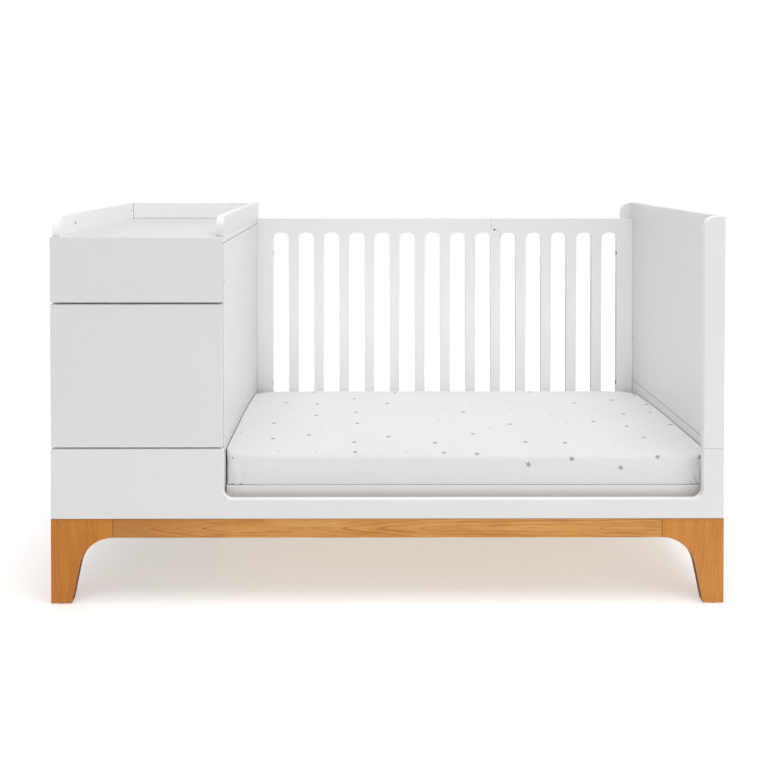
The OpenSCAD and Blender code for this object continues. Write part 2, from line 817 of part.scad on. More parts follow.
module drawer_side_left() placed() color(inner_white) drawer_side(drawer_x0);
module drawer_side_right() placed() color(inner_white) drawer_side(drawer_x1 - drawer_t);
module drawer_inner_front() placed() color(inner_white) drawer_cross(drawer_y0);
module drawer_back() placed() color(inner_white) drawer_cross(drawer_y1 - drawer_t);

module drawer_bottom() placed() color(inner_white)
    slab([drawer_x0 + drawer_t, drawer_y0 + drawer_t, drawer_z0 + drawer_bottom_up],
         [drawer_x1 - drawer_t, drawer_y1 - drawer_t,
          drawer_z0 + drawer_bottom_up + drawer_bottom_t]);

// A channel section: web from x0, open towards +x, h high round the middle
module channel(x0, x1, h) {
    difference() {
        rect([x0, -h / 2], [x1, h / 2]);
        rect([x0 + runner_wall, runner_wall - h / 2], [x1 + eps, h / 2 - runner_wall]);
    }
}

// A runner member on both sides of the drawer
module runner_pair() {
    for (side = [0, 1])
        translate([side * cabinet_w, 0, runner_mid_z]) mirror([side, 0, 0])
            translate([cab_in0, 0, 0]) plate_xz(fitting_y0, runner_l) children();
}

middle_h = runner_h - 2 * (runner_wall + member_gap);
inner_h = middle_h - 2 * (runner_wall + member_gap);
inner_lip = 6;

module runners_outer() placed() color(steel)
    runner_pair() channel(0, runner_w * 2 / 3, runner_h);

module runners_middle() placed() color(steel)
    runner_pair() channel(runner_w / 3, runner_w - runner_wall - member_gap, middle_h);

module runners_inner() placed() color(steel)
    runner_pair() translate([runner_w, 0]) mirror([1, 0]) channel(0, inner_lip, inner_h);

// ---------- door, hinges and latches ----------

module door() placed() color(white) difference() {
    slab([front_x0, 0, door_z0], [front_x1, front_t, door_z1]);
    for (z = hinge_zs) bar_y(cup_r, cup_floor, front_t + eps, cup_x, z);
}

module hinge_cups() placed() color(steel)
    for (z = hinge_zs) difference() {
        bar_y(cup_r - slip, cup_floor + slip, front_t, cup_x, z);
        bar_y(cup_r - slip - cup_wall, cup_floor + slip + cup_wall, front_t + eps, cup_x, z);
    }

module hinge_arms() placed() color(steel)
    for (z = hinge_zs) {
        slab([cab_in0, cab_y0 + hinge_plate_in, z - hinge_plate_half_h],
             [cab_in0 + hinge_plate_t, cab_y0 + hinge_plate_in + hinge_plate_l,
              z + hinge_plate_half_h]);
        slab([cab_in0 + hinge_plate_t, cup_floor + cup_wall + hinge_arm_play, z - hinge_arm_half_h],
             [cab_in0 + hinge_plate_t + hinge_arm_w, cab_y0 + hinge_arm_in, z + hinge_arm_half_h]);
    }

module latch_housing(x, z) {
    difference() {
        slab([x - latch_w / 2, fitting_y0, z - latch_h / 2],
             [x + latch_w / 2, fitting_y0 + latch_l, z + latch_h / 2]);
        bar_y(plunger_r + running, cab_y0, fitting_y0 + latch_l - latch_end_wall, x, z);
    }
}

module latch_plunger(x, z) {
    bar_y(plunger_r, plunger_tip_y, plunger_tip_y + latch_l - 2 * latch_end_wall, x, z);
}

module latch_housings() placed() color(nylon) {
    latch_housing(door_latch_x, divider_z0 - latch_h / 2);
    latch_housing(drawer_latch_x, divider_z1 + latch_h / 2);
}

module door_latch_plunger() placed() color(nylon)
    latch_plunger(door_latch_x, divider_z0 - latch_h / 2);

module drawer_latch_plunger() placed() color(nylon)
    latch_plunger(drawer_latch_x, divider_z1 + latch_h / 2);

leg_front_left();
leg_front_right();
leg_rear_left();
leg_rear_right();
apron_front();
apron_rear();
apron_left();
apron_right();
base_crossbars();
corner_blocks();
leg_glides();
base_screws();
lower_front_panel();
lower_rear_panel();
lower_left_panel();
lower_right_panel();
lower_divider();
lower_battens();
base_rail_front();
base_rail_rear();
base_end_left();
base_end_right();
base_ledgers();
base_slats();
mattress();
end_panel();
end_post_front();
end_post_rear();
back_rail_left();
back_rail_right();
rail_joint_pins();
rail_bolts();
threaded_inserts();
cabinet_side_left();
cabinet_side_right();
cabinet_back();
cabinet_bottom();
cabinet_divider();
cabinet_top();
rim_left();
rim_right();
rim_back();
rim_screws();
shelf();
shelf_pins();
drawer_front();
drawer_side_left();
drawer_side_right();
drawer_inner_front();
drawer_back();
drawer_bottom();
runners_outer();
runners_middle();
runners_inner();
door();
hinge_cups();
hinge_arms();
latch_housings();
door_latch_plunger();
drawer_latch_plunger();
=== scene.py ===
import json
import math

import bmesh
import bpy
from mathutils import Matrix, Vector, noise


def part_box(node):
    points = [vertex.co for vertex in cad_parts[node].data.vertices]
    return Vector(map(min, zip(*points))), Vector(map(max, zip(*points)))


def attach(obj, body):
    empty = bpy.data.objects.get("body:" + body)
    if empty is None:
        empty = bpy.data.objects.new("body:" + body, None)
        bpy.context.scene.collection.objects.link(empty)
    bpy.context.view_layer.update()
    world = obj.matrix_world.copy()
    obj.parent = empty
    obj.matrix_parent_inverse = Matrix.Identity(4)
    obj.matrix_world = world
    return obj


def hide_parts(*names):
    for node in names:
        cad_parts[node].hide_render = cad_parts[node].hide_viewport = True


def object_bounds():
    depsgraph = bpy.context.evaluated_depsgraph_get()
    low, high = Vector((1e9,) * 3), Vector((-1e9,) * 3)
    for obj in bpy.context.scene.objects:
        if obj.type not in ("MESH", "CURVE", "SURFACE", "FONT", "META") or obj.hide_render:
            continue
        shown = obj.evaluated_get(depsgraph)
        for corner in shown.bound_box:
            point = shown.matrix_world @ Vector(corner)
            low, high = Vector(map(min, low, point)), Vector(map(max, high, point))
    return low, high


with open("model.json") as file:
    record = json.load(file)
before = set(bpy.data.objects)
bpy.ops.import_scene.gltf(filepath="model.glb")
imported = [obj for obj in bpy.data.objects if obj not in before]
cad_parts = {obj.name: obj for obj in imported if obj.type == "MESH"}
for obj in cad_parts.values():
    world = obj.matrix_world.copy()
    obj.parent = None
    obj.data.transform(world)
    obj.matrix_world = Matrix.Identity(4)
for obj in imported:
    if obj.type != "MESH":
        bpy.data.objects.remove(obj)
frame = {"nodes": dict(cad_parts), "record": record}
cad_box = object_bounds()
nodes = frame["nodes"]
slots = {part["node"]: part["material_slot"] for part in frame["record"]["subparts"]}


# ---------- camera, light and floor ----------

# the photograph's camera: its place, how far it looks down and aside in degrees, and its lens
CAMERA_PLACE = (-0.0517, -2.3266, 1.0933)
CAMERA_DOWN = 0.776
CAMERA_TURN = -0.141
SENSOR_WIDTH = 36.0
FOCAL_LENGTH = 38.0
LENS_SHIFT = (0.0199, -0.2758)
VIEW_DEPTH = 100.0

# the white surround: its brightness on each side, and the upward share of a direction at which
# the walls start to pass into the ceiling, and at which they have
BACK_WALL = 1.14
FRONT_WALL = 0.6
LEFT_WALL = 0.6
RIGHT_WALL = 0.65
CEILING = 0.6
CEILING_START = 0.30
CEILING_FULL = 0.50

# name, place, target, width, height, watts
SOFTBOXES = (
    ("overhead_softbox", (0.3, -0.6, 3.4), (0.2, 0.0, 0.6), 3.0, 2.2, 53.0),
    ("bay_softbox", (0.05, -0.45, 2.1), (0.05, 0.6, 0.5), 2.0, 0.35, 2.0),
    ("right_softbox", (2.4, -3.0, 1.5), (0.1, 0.3, 0.5), 1.4, 1.4, 1.5),
    ("low_softbox", (2.3, -1.6, 0.6), (0.5, 0.2, 0.45), 1.2, 0.9, 3.0),
)

# the floor, and how strongly it glows under the crib and further than GLOW_REACH away from it; the
# weaker glow under the crib is a painted shadow
FLOOR_SIZE = 20.0
FLOOR_CELLS = 8
GLOW_UNDER = 0.3
GLOW_OPEN = 0.42
GLOW_REACH = 0.55


def aim_camera(scene):
    """The photograph's viewing angle."""
    lens = bpy.data.cameras.new("camera")
    lens.sensor_width = SENSOR_WIDTH
    lens.lens = FOCAL_LENGTH
    lens.shift_x, lens.shift_y = LENS_SHIFT
    lens.clip_end = VIEW_DEPTH
    camera = bpy.data.objects.new("camera", lens)
    camera.location = CAMERA_PLACE
    camera.rotation_euler = (math.radians(90.0 - CAMERA_DOWN), 0.0, math.radians(CAMERA_TURN))
    scene.collection.objects.link(camera)
    scene.camera = camera


def surround(scene):
    """Four white walls that run into each other, and a dimmer ceiling."""
    world = bpy.data.worlds.new("studio_surround")
    world.use_nodes = True
    tree = world.node_tree
    heading = tree.nodes.new("ShaderNodeTexCoord")
    parts = tree.nodes.new("ShaderNodeSeparateXYZ")
    tree.links.new(heading.outputs["Generated"], parts.inputs[0])

    def step(operation, a, b):
        node = tree.nodes.new("ShaderNodeMath")
        node.operation = operation
        for socket, value in ((0, a), (1, b)):
            if isinstance(value, bpy.types.NodeSocket):
                tree.links.new(value, node.inputs[socket])
            else:
                node.inputs[socket].default_value = value
        return node.outputs[0]

    walls = 0.0
    for axis, sign, light in ((1, 1.0, BACK_WALL), (1, -1.0, FRONT_WALL),
                              (0, -1.0, LEFT_WALL), (0, 1.0, RIGHT_WALL)):
        facing = step("MAXIMUM", step("MULTIPLY", parts.outputs[axis], sign), 0.0)
        walls = step("ADD", step("MULTIPLY", step("POWER", facing, 2.0), light), walls)
    fade = tree.nodes.new("ShaderNodeMapRange")
    for socket, value in (("From Min", CEILING_START), ("From Max", CEILING_FULL), ("To Max", CEILING)):
        fade.inputs[socket].default_value = value
    tree.links.new(parts.outputs[2], fade.inputs["Value"])
    tree.links.new(walls, fade.inputs["To Min"])
    background = tree.nodes["Background"]
    tree.links.new(fade.outputs["Result"], background.inputs["Strength"])
    background.inputs["Color"].default_value = (1.0, 1.0, 1.0, 1.0)
    scene.world = world


def hang_softboxes(scene):
    """Soft lamps that together leave no hard shadow."""
    for name, place, target, width, height, watts in SOFTBOXES:
        lamp = bpy.data.lights.new(name, "AREA")
        lamp.shape = "RECTANGLE"
        lamp.size = width
        lamp.size_y = height
        lamp.energy = watts
        holder = bpy.data.objects.new(name, lamp)
        holder.location = place
        holder.rotation_euler = (Vector(target) - Vector(place)).to_track_quat("-Z", "Y").to_euler()
        scene.collection.objects.link(holder)


def lay_floor():
    """The floor belongs to the studio, and not to the part."""
    mesh = bmesh.new()
    bmesh.ops.create_grid(mesh, x_segments=FLOOR_CELLS, y_segments=FLOOR_CELLS, size=FLOOR_SIZE)
    new_piece("floor", mesh, floor_material())


def studio():
    """The photograph's view, an even white surround, soft lamps and a pale floor."""
    scene = bpy.context.scene
    scene.view_settings.view_transform = "Standard"
    aim_camera(scene)
    surround(scene)
    hang_softboxes(scene)
    lay_floor()


# ---------- materials ----------

RIGHT = (1.0, 0.0, 0.0)
LEFT = (-1.0, 0.0, 0.0)
UP = (0.0, 0.0, 1.0)

# heights at which boards meet flush: the lower box's top, and the changing board's underside
SEAM = 0.384
TOP_SEAM = 0.891

# the distance from the middle beyond which lie the oak's front and rear boards
OAK_BACK = 0.321

# the usual range of a noise
NOISE_LOW = 0.3
NOISE_HIGH = 0.7

# painted shade where surfaces stand close together: its tint, which also darkens the joint lines,
# the distance that counts, and how open a place still is where the painted shade is full, and
# where it ends
SHADE_AND_JOINT_TINT = (0.05, 0.05, 0.05)
CREVICE_REACH = 0.005
CREVICE_FULL = 0.16
CREVICE_END = 0.46

# how far a painted edge must turn to a direction for the painted light or painted shade of that
# side to start, and to be full
TURN_START = 0.55
TURN_FULL = 0.85

# a line where painted boards meet flush: half its width when full, and with its soft sides
JOINT_CORE = 0.0004
JOINT_SIDE = 0.0016

# the same where oak boards meet, its share, the tint of unlit oak as a share of the dark tone, and
# how far an edge must turn inwards to start to be unlit, and to be fully so
OAK_JOINT_CORE = 0.0008
OAK_JOINT_SIDE = 0.0018
OAK_JOINT_SHARE = 0.4
OAK_UNLIT = 0.18
OAK_TURN_START = 0.25
OAK_TURN_FULL = 0.6

# the oak's shaded strip under the white box: its height and its brightness
OAK_STRIP = 0.011
OAK_STRIP_SHADE = 0.86

# the sheet: threads to a metre, and for its printed stars the cells to a metre, how freely a star
# lies in its cell, the radii of the two sizes, the share of large ones, the inner corners as a
# share of the radius, and half the width of the print's soft edge
THREADS = 1700.0
STAR_GRID = 9.0
STAR_FREEDOM = 0.62
STAR_LARGE = 0.0085
STAR_SMALL = 0.0038
STAR_LARGE_SHARE = 0.55
STAR_WAIST = 0.47
STAR_POINTS = 5.0
STAR_BLUR = 0.0002


def grey(tone):
    return (tone, tone, tone)


class Graph:
    """One procedural material. A socket given to an input is linked, and a number or colour is set."""

    def __init__(self, name, **sockets):
        self.material = bpy.data.materials.new(name)
        self.material.use_nodes = True
        self.tree = self.material.node_tree
        self.shader = self.tree.nodes["Principled BSDF"]
        for socket, value in sockets.items():
            self.set(socket.replace("_", " "), value)

    def set(self, socket, value):
        if isinstance(value, bpy.types.NodeSocket):
            self.tree.links.new(value, self.shader.inputs[socket])
        else:
            self.shader.inputs[socket].default_value = value

    def add(self, kind, inputs=None, out=0, **settings):
        node = self.tree.nodes.new("ShaderNode" + kind)
        for key, value in settings.items():
            setattr(node, key, value)
        for key, value in (inputs or {}).items():
            if isinstance(value, bpy.types.NodeSocket):
                self.tree.links.new(value, node.inputs[key])
            else:
                node.inputs[key].default_value = value
        return node.outputs[out]

    def math(self, operation, a, b=0.0, c=0.0):
        return self.add("Math", {0: a, 1: b, 2: c}, operation=operation)

    def vector(self, operation, a, b=(0.0, 0.0, 0.0)):
        out = 1 if operation in ("LENGTH", "DOT_PRODUCT") else 0
        return self.add("VectorMath", {0: a, 1: b}, out=out, operation=operation)

    def split(self, vector):
        """The three parts of a vector."""
        return self.add("SeparateXYZ", {0: vector}).node.outputs

    def noise(self, place, scale, detail=2.0, rough=0.5):
        return self.add("TexNoise", {"Vector": place, "Scale": scale, "Detail": detail,
                                     "Roughness": rough})

    def ramp(self, value, low, high, to_low=0.0, to_high=1.0, smooth=False):
        """Maps the range from low to high onto the one from to_low to to_high, and no further."""
        return self.add("MapRange", {0: value, 1: low, 2: high, 3: to_low, 4: to_high},
                        interpolation_type="SMOOTHSTEP" if smooth else "LINEAR")

    def spread(self, value, to_low=0.0, to_high=1.0):
        """Maps a noise's usual range onto another one."""
        return self.ramp(value, NOISE_LOW, NOISE_HIGH, to_low, to_high)

    def colours(self, value, stops):
        node = self.add("ValToRGB", {0: value}).node
        while len(node.color_ramp.elements) < len(stops):
            node.color_ramp.elements.new(0.5)
        for element, (place, colour) in zip(node.color_ramp.elements, stops):
            element.position = place
            element.color = (*colour, 1.0)
        return node.outputs[0]

    def uneven(self, value, tint, share, low=NOISE_LOW, high=NOISE_HIGH):
        """A tint that sinks to a share of itself where a noise is low."""
        return self.colours(value, [(low, tuple(share * c for c in tint)), (high, tint)])

    def mix(self, share, a, b, blend="MIX"):
        def fill(value):
            return value if isinstance(value, bpy.types.NodeSocket) else (*value, 1.0)
        return self.add("Mix", {0: share, 6: fill(a), 7: fill(b)}, out=2,
                        data_type="RGBA", blend_type=blend)

    def bump(self, height, strength, distance, below=None):
        inputs = {"Height": height, "Strength": strength, "Distance": distance}
        if below is not None:
            inputs["Normal"] = below
        return self.add("Bump", inputs)

    def place(self):
        return self.add("TexCoord", out="Object")

    def normal(self):
        return self.add("TexCoord", out="Normal")

    def away(self, value, level):
        """The distance of a value from a level."""
        return self.math("ABSOLUTE", self.math("SUBTRACT", value, level))

    def painted_crevice_shade(self, skin, reach=CREVICE_REACH):
        """The skin, with painted shade where another surface stands close by: in seams, bores and
        grooves.
        """
        open_share = self.add("AmbientOcclusion", {"Distance": reach}, out=1, samples=6)
        closed = self.ramp(open_share, CREVICE_FULL, CREVICE_END, 1.0, 0.0, smooth=True)
        return self.mix(closed, skin, SHADE_AND_JOINT_TINT)


def floor_material():
    """A pale, softly lit floor that also glows like a light table, and glows less under the crib, a
    painted shadow there.
    """
    g = Graph("pale_floor", Roughness=0.9, Emission_Color=(1.0, 1.0, 1.0, 1.0))
    far_corner = cad_box[1]
    split = g.split(g.place())
    beyond = {}
    for axis in (0, 1):
        outside = g.math("SUBTRACT", g.math("ABSOLUTE", split[axis]), far_corner[axis])
        beyond[axis] = g.math("MAXIMUM", outside, 0.0)
    distance = g.vector("LENGTH", g.add("CombineXYZ", beyond))
    # painted shadow: the glow is weaker near and under the crib
    g.set("Emission Strength", g.ramp(distance, 0.0, GLOW_REACH, GLOW_UNDER, GLOW_OPEN, smooth=True))
    cloud = g.noise(g.place(), scale=0.7, detail=3.0)
    g.set("Base Color", g.colours(cloud, [(NOISE_LOW, grey(0.92)), (NOISE_HIGH, grey(0.94))]))
    return g.material


def painted(name, tone, roughness=0.36, peel=0.25, painted_light_tone=None, facing=(RIGHT, UP),
            reach=CREVICE_REACH, joints=(), fade=None):
    """Sprayed paint on fibreboard: a barely uneven white, with a fine orange-peel surface. Its
    edges that face one of some directions take the tone given for such edges, a painted highlight
    or painted shade for how light falls on that side. Each of the joints is a height and the share
    by which the line of two flush boards is darker there. The fade is painted light and shade: a
    height at which the tone starts to change, one at which it has changed, and the new tone."""
    g = Graph(name)
    place = g.place()
    skin = g.uneven(g.noise(place, scale=4.0, detail=3.0, rough=0.6), grey(tone), 0.985)
    # painted light and shade: sides that face a given direction take a lighter or darker tone for how
    # the light falls on them
    if painted_light_tone:
        normal = g.normal()
        for direction in facing:
            turned = g.vector("DOT_PRODUCT", normal, direction)
            skin = g.mix(g.ramp(turned, TURN_START, TURN_FULL), skin, grey(painted_light_tone))
    height = g.split(place)[2]
    # painted light and shade: the tone changes with height, for how the light falls
    if fade:
        start, end, new_tone = fade
        skin = g.mix(g.ramp(height, start, end), skin, grey(new_tone))
    for level, share in joints:
        line = g.ramp(g.away(height, level), JOINT_CORE, JOINT_SIDE, share, 0.0)
        skin = g.mix(line, skin, SHADE_AND_JOINT_TINT)
    # painted shade in seams, bores and grooves
    g.set("Base Color", g.painted_crevice_shade(skin, reach))
    film = g.noise(place, scale=9.0, detail=3.0, rough=0.6)
    g.set("Roughness", g.spread(film, roughness - 0.03, roughness + 0.04))
    fine = g.noise(place, scale=420.0)
    broad = g.noise(place, scale=60.0)
    soft = g.bump(broad, strength=0.25, distance=0.0002)
    g.set("Normal", g.bump(fine, strength=peel, distance=0.0001, below=soft))
    return g.material


def melamine(name, tint):
    """Printed melamine board: matt, with a pebbled texture and faint flecks."""
    g = Graph(name)
    place = g.place()
    fleck = g.noise(place, scale=260.0, detail=3.0, rough=0.7)
    # painted shade in seams, bores and grooves
    g.set("Base Color", g.painted_crevice_shade(g.uneven(fleck, tint, 0.965, low=0.35, high=0.6)))
    g.set("Roughness", g.spread(fleck, 0.5, 0.62))
    pebble = g.add("TexVoronoi", {"Vector": place, "Scale": 900.0}, feature="SMOOTH_F1")
    g.set("Normal", g.bump(pebble, strength=0.12, distance=0.0001))
    return g.material


def wood(name, along, tones, pith, ring, seed, figure, rises=(), slant=0.0, streak=0.4,
         coarse=190.0, pores=0.5, fibre=0.10, late=0.42, deep=None, ends=(), inner=0.0, top=None):
    """Solid wood cut from a log, with its rings round a pith line that runs along one axis, and
    leans by slant. Where the trunk widens (rises: from, to, by how much) the rings run out in V
    shapes. Streaks, fibres and open pores are drawn out along the grain. late is where a ring's
    dark band ends, and deep (from, to, share) a stretch of darker wood. Where no light comes the
    wood is dark: in a line at each of the ends, on the narrow edges whose outward side along X
    has the sign of inner, and in a strip below the height top."""
    g = Graph(name, Specular_IOR_Level=0.3)
    split = g.split(g.place())
    across = [axis for axis in range(3) if axis != along]
    run = split[along]
    shifted = [g.math("SUBTRACT", split[axis], centre) for axis, centre in zip(across, pith)]
    shifted[0] = g.math("MULTIPLY_ADD", run, slant, shifted[0])

    def drawn(stretch_run, stretch_across, offset):
        parts = {along: g.math("MULTIPLY_ADD", run, stretch_run, seed + offset)}
        for axis, value in zip(across, shifted):
            parts[axis] = g.math("MULTIPLY", value, stretch_across)
        return g.add("CombineXYZ", parts)

    def wander(stretch_run, stretch_across, offset, reach):
        found = g.noise(drawn(stretch_run, stretch_across, offset), scale=1.0)
        return g.math("MULTIPLY_ADD", found, 2.0 * reach, -reach)

    # the distance from the pith, then the place within a ring, from 0 to 1
    sway = wander(stretch_run=6.0, stretch_across=9.0, offset=5.3, reach=0.0035)
    ripple = wander(stretch_run=30.0, stretch_across=40.0, offset=7.9, reach=0.0008)
    depth = g.vector("LENGTH", g.add("CombineXYZ", {0: shifted[0], 1: shifted[1]}))
    depth = g.math("ADD", depth, g.math("ADD", sway, ripple))
    for start, end, height in rises:
        depth = g.math("SUBTRACT", depth, g.ramp(run, start, end, 0.0, height, smooth=True))
    phase = g.math("DIVIDE", depth, ring)
    year = g.add("CombineXYZ", {0: g.math("MULTIPLY", phase, 0.6), 1: seed})
    uneven_years = g.noise(year, scale=1.0, detail=1.0)
    phase = g.math("ADD", phase, g.math("MULTIPLY", uneven_years, 1.6))
    season = g.math("FRACT", phase)
    early = g.math("MULTIPLY", g.ramp(season, 0.0, 0.07, smooth=True),
                   g.ramp(season, 0.08, late, 1.0, 0.0, smooth=True))
    strength = g.noise(drawn(stretch_run=4.0, stretch_across=25.0, offset=4.4), scale=1.0)
    early = g.math("MULTIPLY", early, g.ramp(strength, 0.3, 0.65, 0.2, 1.0))

    light, middle, dark = tones
    veil = g.vector("ADD", drawn(1.0, 1.0, 0.0), g.add("CombineXYZ", {axis: sway for axis in across}))

    def grain(stretch_run, stretch_across, detail, rough):
        scale = [stretch_across] * 3
        scale[along] = stretch_run
        return g.noise(g.vector("MULTIPLY", veil, scale), 1.0, detail, rough)

    # the ground tone, from broad patches to fine fibres, by how fast each changes along the
    # grain and across it
    patch = grain(5.0, 34.0, detail=2.0, rough=0.5)
    flame = grain(11.0, 0.45 * coarse, detail=3.0, rough=0.6)
    streaks = grain(13.0, coarse, detail=3.0, rough=0.65)
    fibres = grain(24.0, 700.0, detail=3.0, rough=0.6)
    open_pores = grain(60.0, 1500.0, detail=1.0, rough=0.5)
    ground = g.mix(g.ramp(patch, 0.35, 0.65), light, middle)
    ground = g.mix(g.ramp(flame, 0.5, 0.72, 0.0, 0.7 * streak, smooth=True), ground, dark)
    ground = g.mix(g.ramp(streaks, 0.47, 0.72, 0.0, streak, smooth=True), ground, dark)
    ground = g.mix(g.math("MULTIPLY", early, figure), ground, dark)
    if deep:
        start, end, share = deep
        ground = g.mix(g.ramp(run, start, end, share, 0.0, smooth=True), ground, dark)
    shade = g.ramp(fibres, 0.25, 0.75, 1.0 - fibre, 1.0 + 0.5 * fibre)
    if top is not None:
        shade = g.math("MULTIPLY", shade, g.ramp(split[2], top - OAK_STRIP, top, 1.0, OAK_STRIP_SHADE))
    ground = g.mix(1.0, ground, g.add("CombineColor", {0: shade, 1: shade, 2: shade}), "MULTIPLY")
    open_pores = g.math("MULTIPLY", g.ramp(open_pores, 0.60, 0.70, smooth=True),
                        g.math("MULTIPLY_ADD", early, 0.7, 0.3))
    ground = g.mix(g.math("MULTIPLY", open_pores, pores), ground, tuple(0.45 * c for c in dark))

    # where no light comes
    unlit = tuple(OAK_UNLIT * c for c in dark)
    for end in ends:
        line = g.ramp(g.away(run, end), OAK_JOINT_CORE, OAK_JOINT_SIDE, OAK_JOINT_SHARE, 0.0)
        ground = g.mix(line, ground, unlit)
    if inner:
        turned = g.split(g.normal())[0]
        hidden = g.ramp(g.math("MULTIPLY", turned, inner), OAK_TURN_START, OAK_TURN_FULL)
        narrow_edge = g.math("GREATER_THAN", g.math("ABSOLUTE", split[1]), OAK_BACK)
        ground = g.mix(g.math("MULTIPLY", hidden, narrow_edge), ground, unlit)

    # painted shade where another surface stands within 3 mm
    g.set("Base Color", g.painted_crevice_shade(ground, 0.003))
    g.set("Roughness", g.spread(fibres, 0.42, 0.56))
    relief = g.math("SUBTRACT", g.math("MULTIPLY", fibres, 0.35), g.math("MULTIPLY", open_pores, pores))
    g.set("Normal", g.bump(relief, strength=0.35, distance=0.0003))
    return g.material


def metal(name, tint, roughness):
    """Plated or blackened steel: fine directional brushing and soft cloudy patches."""
    g = Graph(name, Metallic=1.0)
    place = g.place()
    cloud = g.noise(place, scale=90.0, detail=3.0, rough=0.6)
    g.set("Base Color", g.uneven(cloud, tint, 0.86))
    brushed = g.noise(g.vector("MULTIPLY", place, (2600.0, 90.0, 2600.0)), scale=1.0)
    g.set("Roughness", g.spread(brushed, roughness - 0.06, roughness + 0.08))
    g.set("Normal", g.bump(brushed, strength=0.15, distance=0.00005))
    return g.material


def moulded(name, tint, roughness):
    """Moulded nylon: a matt spark-eroded surface."""
    g = Graph(name)
    place = g.place()
    grainy = g.noise(place, scale=1500.0, rough=0.6)
    g.set("Base Color", g.uneven(g.noise(place, scale=40.0), tint, 0.9))
    g.set("Roughness", g.spread(grainy, roughness - 0.05, roughness + 0.05))
    g.set("Normal", g.bump(grainy, strength=0.25, distance=0.00006))
    return g.material


def weave(g, flat, threads):
    """Over-and-under threads of a plain weave, as a height, on the flat cloth's own coordinates."""
    split = g.split(flat)
    turn = math.pi * threads
    warp = g.math("SINE", g.math("MULTIPLY", split[0], turn))
    weft = g.math("SINE", g.math("MULTIPLY", split[1], turn))
    return g.math("MULTIPLY", warp, weft)


def stars(g, flat):
    """Five-pointed stars in two sizes, scattered on the cloth, as a share from 0 to 1. Each cell
    of an uneven grid holds one star, turned at random."""
    cells = g.add("TexVoronoi", {"Vector": flat, "Scale": STAR_GRID, "Randomness": STAR_FREEDOM},
                  voronoi_dimensions="2D").node.outputs
    chance = g.add("SeparateColor", {0: cells["Color"]}).node.outputs
    offset = g.split(g.vector("SUBTRACT", flat, cells["Position"]))
    x, y = offset[0], offset[1]
    angle = g.math("ADD", g.math("ARCTAN2", y, x), g.math("MULTIPLY", chance[1], 2.0 * math.pi))
    # the angle from the nearest point of the star
    point = 2.0 * math.pi / STAR_POINTS
    folded = g.math("ABSOLUTE", g.math("SUBTRACT", g.math("FLOORED_MODULO", angle, point), point / 2.0))
    folded = g.math("SUBTRACT", point / 2.0, folded)
    reach = g.math("SQRT", g.math("ADD", g.math("MULTIPLY", x, x), g.math("MULTIPLY", y, y)))
    small = g.math("GREATER_THAN", chance[0], STAR_LARGE_SHARE)
    size = g.ramp(small, 0.0, 1.0, STAR_LARGE, STAR_SMALL)
    # the side from that point to the next inner corner
    edge_x = STAR_WAIST * math.sin(point / 2.0)
    edge_y = 1.0 - STAR_WAIST * math.cos(point / 2.0)
    across = g.math("ADD", g.math("MULTIPLY", g.math("COSINE", folded), edge_x),
                    g.math("MULTIPLY", g.math("SINE", folded), edge_y))
    inside = g.math("SUBTRACT", g.math("MULTIPLY", size, edge_x), g.math("MULTIPLY", reach, across))
    return g.ramp(inside, -STAR_BLUR, STAR_BLUR, smooth=True)


def printed_cotton(name, tint, ink):
    """The fitted sheet: slubby plain-woven cotton, printed with small stars."""
    g = Graph(name, Sheen_Weight=0.12, Sheen_Roughness=0.5)
    flat = g.add("UVMap", uv_map="cloth")
    star = stars(g, flat)
    threads = weave(g, flat, THREADS)
    slub = g.noise(g.vector("MULTIPLY", flat, (1.0, 9.0, 1.0)), scale=90.0, detail=3.0, rough=0.6)
    wash = g.noise(flat, scale=5.0, detail=3.0, rough=0.55)
    cloth = g.mix(g.spread(wash), tuple(0.975 * c for c in tint), tint)
    cloth = g.mix(g.ramp(slub, 0.45, 0.8, 0.0, 0.2), cloth, tuple(0.93 * c for c in tint))
    cover = g.ramp(slub, 0.2, 0.8, 0.95, 0.8)
    g.set("Base Color", g.mix(g.math("MULTIPLY", star, cover), cloth, ink))
    g.set("Roughness", g.spread(slub, 0.82, 0.92))
    woven = g.bump(threads, strength=0.18, distance=0.00012)
    g.set("Normal", g.bump(slub, strength=0.10, distance=0.0003, below=woven))
    return g.material


def ticking(name, tint):
    """The mattress's own cover under the sheet: plain off-white twill."""
    g = Graph(name, Sheen_Weight=0.08)
    place = g.place()
    split = g.split(place)
    twill = g.math("SINE", g.math("MULTIPLY", g.math("ADD", split[0], split[1]), 3600.0))
    lint = g.noise(place, scale=300.0, detail=3.0, rough=0.6)
    g.set("Base Color", g.uneven(lint, tint, 0.95))
    g.set("Roughness", g.spread(lint, 0.8, 0.92))
    g.set("Normal", g.bump(twill, strength=0.2, distance=0.0002))
    return g.material


# ---------- pieces ----------

# how a CAD node's edges are eased: points closer than this become one, faces flatter than this
# many degrees become one, and only edges sharper than this are rounded, in so many steps
WELD_REACH = 0.00002
FLAT_ANGLE = 0.5
SHARP_ANGLE = 30.0
EDGE_STEPS = 3


def new_piece(name, mesh, material):
    data = bpy.data.meshes.new(name)
    mesh.to_mesh(data)
    mesh.free()
    data.materials.append(material)
    piece = bpy.data.objects.new(name, data)
    bpy.context.scene.collection.objects.link(piece)
    for face in data.polygons:
        face.use_smooth = True
    return piece


def applied(piece):
    """The piece's mesh with its modifiers in force, as a new bmesh."""
    bpy.context.view_layer.update()
    mesh = bmesh.new()
    mesh.from_object(piece, bpy.context.evaluated_depsgraph_get())
    return mesh


